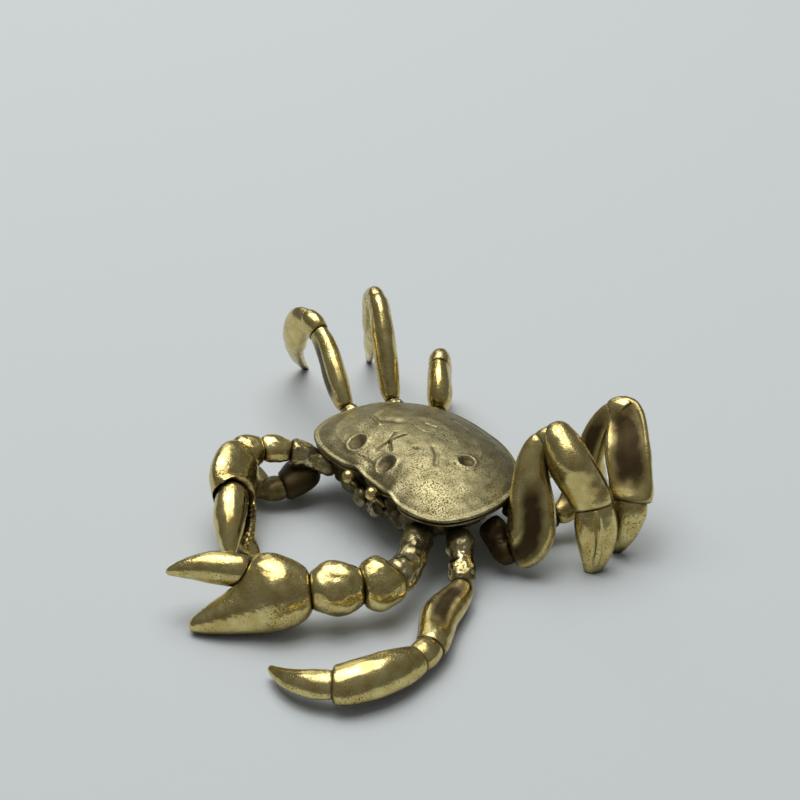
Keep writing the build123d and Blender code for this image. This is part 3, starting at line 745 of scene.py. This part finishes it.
def turned_shell(name, around, rings, section):
    """A ball pulled to the outline and a section: rows of size across and along, shift, height."""
    bpy.ops.object.select_all(action="DESELECT")
    bpy.ops.mesh.primitive_uv_sphere_add(segments=around, ring_count=rings, radius=MM)
    piece = bpy.context.object
    piece.name = name
    ball = points_of(piece)
    outline = smooth_outline(around)
    turn = np.arctan2(ball[:, 1], ball[:, 0])
    spot = np.round(((turn + pi / 2) / (2 * pi) % 1) * around).astype(int) % around
    step = np.arccos(np.clip(ball[:, 2], -1, 1)) / pi * (len(section) - 1)
    rows = np.array(section)
    low = np.clip(np.floor(step).astype(int), 0, len(rows) - 2)
    t = (step - low)[:, None]
    row = rows[low] * (1 - t) + rows[low + 1] * t
    middle = table_middle()
    x = middle.x + outline[spot, 0] * row[:, 0] * BACK_WIDTH / 2
    y = middle.y + (outline[spot, 1] * row[:, 1] - row[:, 2]) * BACK_LENGTH / 2
    move_points(piece, np.column_stack([x, y, row[:, 3]]))
    return piece


def near_line(x, y, start, end):
    """Distance of each point from a stretch between two places."""
    run = np.array(end) - np.array(start)
    share = np.clip(((x - start[0]) * run[0] + (y - start[1]) * run[1]) / (run @ run), 0, 1)
    return np.hypot(x - start[0] - share * run[0], y - start[1] - share * run[1])


def hollow(distance, size):
    """Soft round hollow of a size: 1 in its middle, and 0 outside."""
    return np.exp(-((distance / size) ** 2))


def fine_section(rows, spacing):
    """The rows with further ones between them, about so far apart in shares of the outline."""
    rows = np.array(rows)
    fine = []
    for low, high in zip(rows, rows[1:]):
        count = max(3, round(abs(high[0] - low[0]) / spacing))
        fine += [low * (1 - t) + high * t for t in np.linspace(0, 1, count, endpoint=False)]
    return fine + [rows[-1]]


def carved(x, y, top):
    """How far each point of the back is lowered by the dimples, strokes and ridges, in mm."""
    look = settings()
    radius, depth = look.dimple_size / MM, look.dimple_depth / MM
    rim_height, rim_place, rim_width = DIMPLE_RIM
    drop = np.zeros(len(x))
    for u, v, size in DIMPLES:
        far = np.hypot(x - u * BACK_WIDTH / 2, y - v * BACK_LENGTH / 2)
        drop += depth * np.exp(-((far / (size * radius)) ** 4))
        drop -= rim_height * hollow(far - rim_place * size * radius, rim_width)
    for share, width, line in STROKES:
        corners = [(u * BACK_WIDTH / 2, v * BACK_LENGTH / 2) for u, v in line]
        near = np.min([near_line(x, y, a, b) for a, b in zip(corners, corners[1:])], axis=0)
        drop += look.groove_depth / MM * share * hollow(near, width)
    return np.where(top, drop, 0)


class CrabSettings(bpy.types.PropertyGroup):
    """Sizes and colours that a user may change."""

    dimple_size: bpy.props.FloatProperty(
        name="Dimple size", description="Radius of the dimples on the back",
        default=1.1 * MM, min=0.1 * MM, unit="LENGTH")
    dimple_depth: bpy.props.FloatProperty(
        name="Dimple depth", description="Depth of the dimples on the back",
        default=0.42 * MM, min=0.01 * MM, unit="LENGTH")
    groove_depth: bpy.props.FloatProperty(
        name="Groove depth", description="Depth of the grooves on the back",
        default=0.22 * MM, min=0, unit="LENGTH")
    brass: bpy.props.FloatVectorProperty(
        name="Brass", description="Brass of the limbs, rubbed bright",
        default=linear("#DCCC8C"), size=4, min=0, max=1, subtype="COLOR")
    old_brass: bpy.props.FloatVectorProperty(
        name="Dull brass", description="Dulled brass of the back and the body",
        default=linear("#A89F76"), size=4, min=0, max=1, subtype="COLOR")
    braze: bpy.props.FloatVectorProperty(
        name="Braze", description="Silvery metal at the limb roots",
        default=linear("#BFB48C"), size=4, min=0, max=1, subtype="COLOR")
    # Patina colour, which also paints shade between pieces, under them and over pieces in the shade
    # of the back
    patina_and_shade_colour: bpy.props.FloatVectorProperty(
        name="Patina", description="Dark film in hollows and pits",
        default=linear("#43351A"), size=4, min=0, max=1, subtype="COLOR")
    floor: bpy.props.FloatVectorProperty(
        name="Floor", description="Studio floor",
        default=linear("#C8CDCE"), size=4, min=0, max=1, subtype="COLOR")


def settings():
    """The scene's crab settings."""
    return bpy.context.scene.crab


# Metals

def add(tree, kind, inputs=None, **attributes):
    """Adds a node with its attributes, its input values and its links."""
    made = tree.nodes.new(kind)
    for name, value in attributes.items():
        setattr(made, name, value)
    for name, value in (inputs or {}).items():
        if isinstance(value, bpy.types.NodeSocket):
            tree.links.new(value, made.inputs[name])
        else:
            made.inputs[name].default_value = value
    return made


def patina_and_shade_mask(tree, coords, clouds, pit_size, pit_share, pit_film, rubbed_share):
    """The pits, and how much dark patina and painted shade there is: in pits, in hollows and
    between and under pieces, where the ambient occlusion paints shade as well as patina, and where
    darken put it.
    """
    pits = add(tree, "ShaderNodeTexNoise", {
        "Vector": coords, "Scale": 1 / (pit_size * MM), "Detail": 1.5, "Roughness": 0.5})
    specks = add(tree, "ShaderNodeMapRange", {
        "Value": pits.outputs["Fac"],
        "From Min": 0.62 - pit_share, "From Max": 0.74 - pit_share})
    zones = add(tree, "ShaderNodeTexNoise", {
        "Vector": coords, "Scale": 1 / (RUBBED_SIZE * MM), "Detail": 2.0, "Roughness": 0.5})
    zone = add(tree, "ShaderNodeMapRange", {
        "Value": zones.outputs["Fac"], "From Min": 0.40, "From Max": 0.62,
        "To Min": pit_film * rubbed_share, "To Max": pit_film})
    speck = add(tree, "ShaderNodeMath", {
        0: specks.outputs["Result"], 1: zone.outputs["Result"]}, operation="MULTIPLY")
    # Ambient occlusion darkens hollows, which keep patina, and also paints shade between pieces and
    # under them, near the floor
    open_sky = add(tree, "ShaderNodeAmbientOcclusion", {"Distance": HOLLOW_AND_SHADE_REACH * MM}, samples=8)
    hollow_patina_and_shade = add(tree, "ShaderNodeMapRange", {
        "Value": open_sky.outputs["AO"], "From Min": 0.72, "From Max": 0.30})
    patches = add(tree, "ShaderNodeMapRange", {
        "Value": clouds, "From Min": 0.35, "From Max": 0.60, "To Min": 0.88, "To Max": 1.08})
    painted = add(tree, "ShaderNodeAttribute", attribute_name="film")
    patchy_patina_and_shade = add(tree, "ShaderNodeMath", {
        0: painted.outputs["Fac"], 1: patches.outputs["Result"]},
        operation="MULTIPLY", use_clamp=True)
    patina_and_shade_in_hollows = add(tree, "ShaderNodeMath", {
        0: patchy_patina_and_shade.outputs[0], 1: hollow_patina_and_shade.outputs["Result"]}, operation="MAXIMUM")
    film = add(tree, "ShaderNodeMath", {
        0: speck.outputs[0], 1: patina_and_shade_in_hollows.outputs[0]}, operation="MAXIMUM")
    return speck.outputs[0], film.outputs[0]


def antique_brass(name):
    """Lost-wax cast brass of a finish in BRASSES, made at its first use. It was darkened and then
    rubbed bright on its high places, and its pits and seams keep the brown-black film. The same
    brown-black also paints shade between pieces, under them and over pieces in the shade of the
    back."""
    material = bpy.data.materials.get(name)
    if material:
        return material
    metal, dull, pit_size, pit_share, pit_film, rubbed_share, cloud_share, gloss = BRASSES[name]
    material = bpy.data.materials.new(name)
    material.use_nodes = True
    tree = material.node_tree
    coords = add(tree, "ShaderNodeTexCoord").outputs["Object"]
    grain = add(tree, "ShaderNodeTexNoise", {
        "Vector": coords, "Scale": 1 / (GRAIN_SIZE * MM), "Detail": 1.0}).outputs["Fac"]
    clouds = add(tree, "ShaderNodeTexNoise", {
        "Vector": coords, "Scale": 1 / (CLOUD_SIZE * MM), "Detail": 5.0}).outputs["Fac"]
    pits, film = patina_and_shade_mask(tree, coords, clouds, pit_size, pit_share, pit_film, rubbed_share)
    dulled = add(tree, "ShaderNodeMapRange", {
        "Value": clouds, "From Min": 0.35, "From Max": 0.7, "To Max": cloud_share})
    bare = add(tree, "ShaderNodeMix", {
        "Factor": dulled.outputs["Result"], 6: tuple(getattr(settings(), metal)),
        7: linear(dull)}, data_type="RGBA")
    # The patina colour, mixed in by the mask, gives patina and painted shade alike
    colour = add(tree, "ShaderNodeMix", {
        "Factor": film, 6: bare.outputs[2], 7: tuple(settings().patina_and_shade_colour)}, data_type="RGBA")
    metallic = add(tree, "ShaderNodeMapRange", {"Value": film, "To Min": 1.0, "To Max": 0.75})
    rough = add(tree, "ShaderNodeMapRange", {"Value": film, "To Min": gloss, "To Max": 0.42})
    grainy = add(tree, "ShaderNodeMath", {
        0: grain, 1: 0.10, 2: rough.outputs["Result"]}, operation="MULTIPLY_ADD")
    sunk = add(tree, "ShaderNodeMath", {0: pits, 1: -1.0, 2: 0.0}, operation="MULTIPLY_ADD")
    relief = add(tree, "ShaderNodeMath", {
        0: grain, 1: 0.35, 2: sunk.outputs[0]}, operation="MULTIPLY_ADD")
    bump = add(tree, "ShaderNodeBump", {
        "Height": relief.outputs[0], "Strength": 0.5, "Distance": PIT_DEPTH * MM})
    shader = tree.nodes["Principled BSDF"]
    for socket, value in (
        ("Base Color", colour.outputs[2]), ("Metallic", metallic.outputs["Result"]),
        ("Roughness", grainy.outputs[0]), ("Normal", bump.outputs["Normal"]),
    ):
        tree.links.new(value, shader.inputs[socket])
    return material


def dress(node, finish):
    """Gives a CAD node its metal."""
    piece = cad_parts[node]
    piece.data.materials.clear()
    piece.data.materials.append(antique_brass(finish))


# The studio

def lay_floor():
    """Board under the crab, painted matt, which gives a pale floor without shine."""
    bpy.ops.object.select_all(action="DESELECT")
    bpy.ops.mesh.primitive_plane_add(size=FLOOR_SIZE * MM)
    floor = bpy.context.object
    floor.name = "studio_floor"
    paint = bpy.data.materials.new("matt_painted_board")
    paint.use_nodes = True
    shader = paint.node_tree.nodes["Principled BSDF"]
    shader.inputs["Base Color"].default_value = tuple(settings().floor)
    shader.inputs["Roughness"].default_value = 0.8
    floor.data.materials.append(paint)


def light_air():
    """Dim grey air all round, a little brighter overhead."""
    world = bpy.data.worlds.new("studio_air")
    world.use_nodes = True
    air = world.node_tree
    coords = add(air, "ShaderNodeTexCoord").outputs["Generated"]
    height = add(air, "ShaderNodeSeparateXYZ", {"Vector": coords}).outputs["Z"]
    strength = add(air, "ShaderNodeMapRange", {
        "Value": height, "From Min": 0.25, "From Max": 0.85, "To Min": 0.15, "To Max": 0.24})
    background = air.nodes["Background"]
    air.links.new(strength.outputs["Result"], background.inputs["Strength"])
    background.inputs["Color"].default_value = (0.97, 0.99, 1.0, 1)
    bpy.context.scene.world = world


def hang_lamps():
    """Soft square lamps, turned to the place on the table under the back."""
    for name, place, size, power in LAMPS:
        lamp = bpy.data.lights.new(name, "AREA")
        lamp.size = size * MM
        lamp.energy = power
        holder = bpy.data.objects.new(name, lamp)
        holder.location = (table_middle() + Vector(place)) * MM
        holder.rotation_euler = (-Vector(place)).to_track_quat("-Z", "Y").to_euler()
        bpy.context.collection.objects.link(holder)


def set_camera():
    """Camera at the photograph's viewing angle."""
    back = -way(90 + CAMERA_SIDE, 0) * cos(radians(CAMERA_HEIGHT))
    back += Vector((0, 0, sin(radians(CAMERA_HEIGHT))))
    camera = bpy.data.cameras.new("camera")
    camera.sensor_width = SENSOR
    camera.lens = SENSOR * FOCAL_PIXELS / PICTURE_WIDTH
    camera.clip_start = NEAREST * MM
    holder = bpy.data.objects.new("camera", camera)
    holder.location = (table_middle() + Vector(VIEW_PLACE) + back * CAMERA_DISTANCE) * MM
    holder.rotation_euler = (-back).to_track_quat("-Z", "Y").to_euler()
    bpy.context.collection.objects.link(holder)
    bpy.context.scene.camera = holder
    bpy.context.scene.view_settings.view_transform = "Standard"


# Operators, in the order in which main calls them

class CRAB_OT_legs(bpy.types.Operator):
    """Eight legs, cast piece by piece and laid along their curves"""
    bl_idname = "crab.legs"
    bl_label = "Legs"

    def execute(self, context):
        blanks = {kind: blank(kind) for kind in LEG_KINDS}
        for name, (hip, upper, lower, pose) in LEGS.items():
            thins = [way(*upper)] * 3 + [way(*lower)] * 2
            limb_pieces(name, hip, thins, pose, LEG_KINDS, blanks)
        for piece in blanks.values():
            bpy.data.objects.remove(piece)
        return {"FINISHED"}


class CRAB_OT_claws(bpy.types.Operator):
    """Both claws, each with its movable finger seated in the hand"""
    bl_idname = "crab.claws"
    bl_label = "Claws"

    def execute(self, context):
        blanks = {kind: blank(kind) for kind in (*CLAW_KINDS, "finger")}
        for name, (hip, angles, pose, row) in CLAWS.items():
            thin = way(*angles)
            thins = [thin] * len(CLAW_KINDS)
            seats, made = limb_pieces(name, hip, thins, pose, CLAW_KINDS, blanks)
            girth = pose[-1][1]
            movable_finger(name, seats, thin, girth, row, blanks, made["palm"])
        for piece in blanks.values():
            bpy.data.objects.remove(piece)
        return {"FINISHED"}


class CRAB_OT_back(bpy.types.Operator):
    """Domed back with its double edge, dimples, cross mark and grooves"""
    bl_idname = "crab.back"
    bl_label = "Back"

    def execute(self, context):
        section = [
            (size, size, 0, EDGE_HEIGHT + rise)
            for size, rise in fine_section(BACK_SECTION, BACK_SPACING)
        ]
        piece = turned_shell("back", BACK_AROUND, len(section) - 1, section)
        points = points_of(piece)
        middle = table_middle()
        x, y = points[:, 0] - middle.x, points[:, 1] - middle.y
        above = points[:, 2] > EDGE_HEIGHT + 1.1 * EDGE_THICKNESS
        drop = carved(x, y, above)
        points[:, 2] -= drop
        marked = np.clip(MARK_GAIN * drop / (settings().dimple_depth / MM), 0, 1)
        darken(piece, marked * MARK_FILM * above)
        front = np.clip((-y / (BACK_LENGTH / 2) - BROW_START) / BROW_BLEND, 0, 1)
        for u in ORBITS:
            brow = hollow(x - u * BACK_WIDTH / 2, BROW_WIDTH) * front
            points[:, 2] += BROW_RISE * brow * above
            points[:, 1] += BROW_NOTCH * brow * (1 - above)
        move_points(piece, points)
        outwards(piece)
        hammer(piece, BACK_SKIN)
        finished(piece, "back_cast", "carapace", antique_brass("dulled_cast_brass"))
        return {"FINISHED"}


class CRAB_OT_body(bpy.types.Operator):
    """Bowl-shaped body under the back, with its rough face"""
    bl_idname = "crab.body"
    bl_label = "Body"

    def execute(self, context):
        section = [
            (wide, deep, shift, EDGE_HEIGHT + BODY_LAP - drop * BODY_DEPTH)
            for wide, deep, shift, drop in fine_section(BODY_SECTION, BODY_SPACING)
        ]
        piece = turned_shell("body", BODY_AROUND, len(section) - 1, section)
        points = points_of(piece)
        middle = table_middle()
        face = middle.y - BACK_LENGTH / 2 + FACE_INSET
        points[:, 1] = np.maximum(points[:, 1], face)
        x = points[:, 0] - middle.x
        down = EDGE_HEIGHT - points[:, 2]
        frontal = hollow(points[:, 1] - face, FACE_REACH)
        for u in ORBITS:
            far = np.hypot(x - u * BACK_WIDTH / 2, (down - ORBIT_DROP) * ORBIT_BROAD)
            lid = LID_HEIGHT * hollow(far - LID_PLACE, LID_WIDTH) * (down > LID_DROP)
            points[:, 1] += frontal * (ORBIT_DEPTH * hollow(far, ORBIT_RADIUS) - lid)
        # Uneven waves about 2 mm apart
        folds = np.sin(x * 3.1 + 1.3 * np.sin(x * 0.7)) * (down > FOLD_DROP)
        points[:, 1] -= frontal * FOLD_HEIGHT * folds
        move_points(piece, points)
        outwards(piece)
        darken(piece, BODY_FILM + FACE_FILM * frontal)
        hammer(piece, BODY_SKIN)
        finished(piece, "body_cast", "thorax", antique_brass("rough_cast_brass"))
        return {"FINISHED"}


class CRAB_OT_small(bpy.types.Operator):
    """Eyes, mouth plates and abdomen, which keep their CAD shape and get their metal"""
    bl_idname = "crab.small"
    bl_label = "Eyes, mouth and abdomen"

    def execute(self, context):
        for node in ("eye_left", "eye_right"):
            dress(node, "polished_antique_brass")
        for node in ("mouthpart_left", "mouthpart_right", "abdomen_flap"):
            dress(node, "rough_cast_brass")
        return {"FINISHED"}


class CRAB_OT_studio(bpy.types.Operator):
    """Pale floor, soft lamps and the camera"""
    bl_idname = "crab.studio"
    bl_label = "Studio"

    def execute(self, context):
        lay_floor()
        light_air()
        hang_lamps()
        set_camera()
        return {"FINISHED"}


class CRAB_PT_panel(bpy.types.Panel):
    """Sidebar with the crab's steps and settings"""
    bl_idname = "CRAB_PT_panel"
    bl_label = "Brass crab"
    bl_space_type = "VIEW_3D"
    bl_region_type = "UI"
    bl_category = "Crab"

    def draw(self, context):
        for name in CrabSettings.__annotations__:
            self.layout.prop(context.scene.crab, name)
        for step in STEPS:
            self.layout.operator(step.bl_idname)


STEPS = (
    CRAB_OT_legs, CRAB_OT_claws, CRAB_OT_back, CRAB_OT_body, CRAB_OT_small, CRAB_OT_studio,
)
CLASSES = (CrabSettings,) + STEPS + (CRAB_PT_panel,)


def register():
    """Registers the classes and the settings."""
    for item in CLASSES:
        bpy.utils.register_class(item)
    bpy.types.Scene.crab = bpy.props.PointerProperty(type=CrabSettings)


def unregister():
    """Takes them away again."""
    del bpy.types.Scene.crab
    for item in reversed(CLASSES):
        bpy.utils.unregister_class(item)


def main():
    """Makes the crab and its studio."""
    register()
    bpy.ops.crab.legs()
    bpy.ops.crab.claws()
    bpy.ops.crab.back()
    bpy.ops.crab.body()
    bpy.ops.crab.small()
    bpy.ops.crab.studio()


if __name__ == "__main__":
    main()
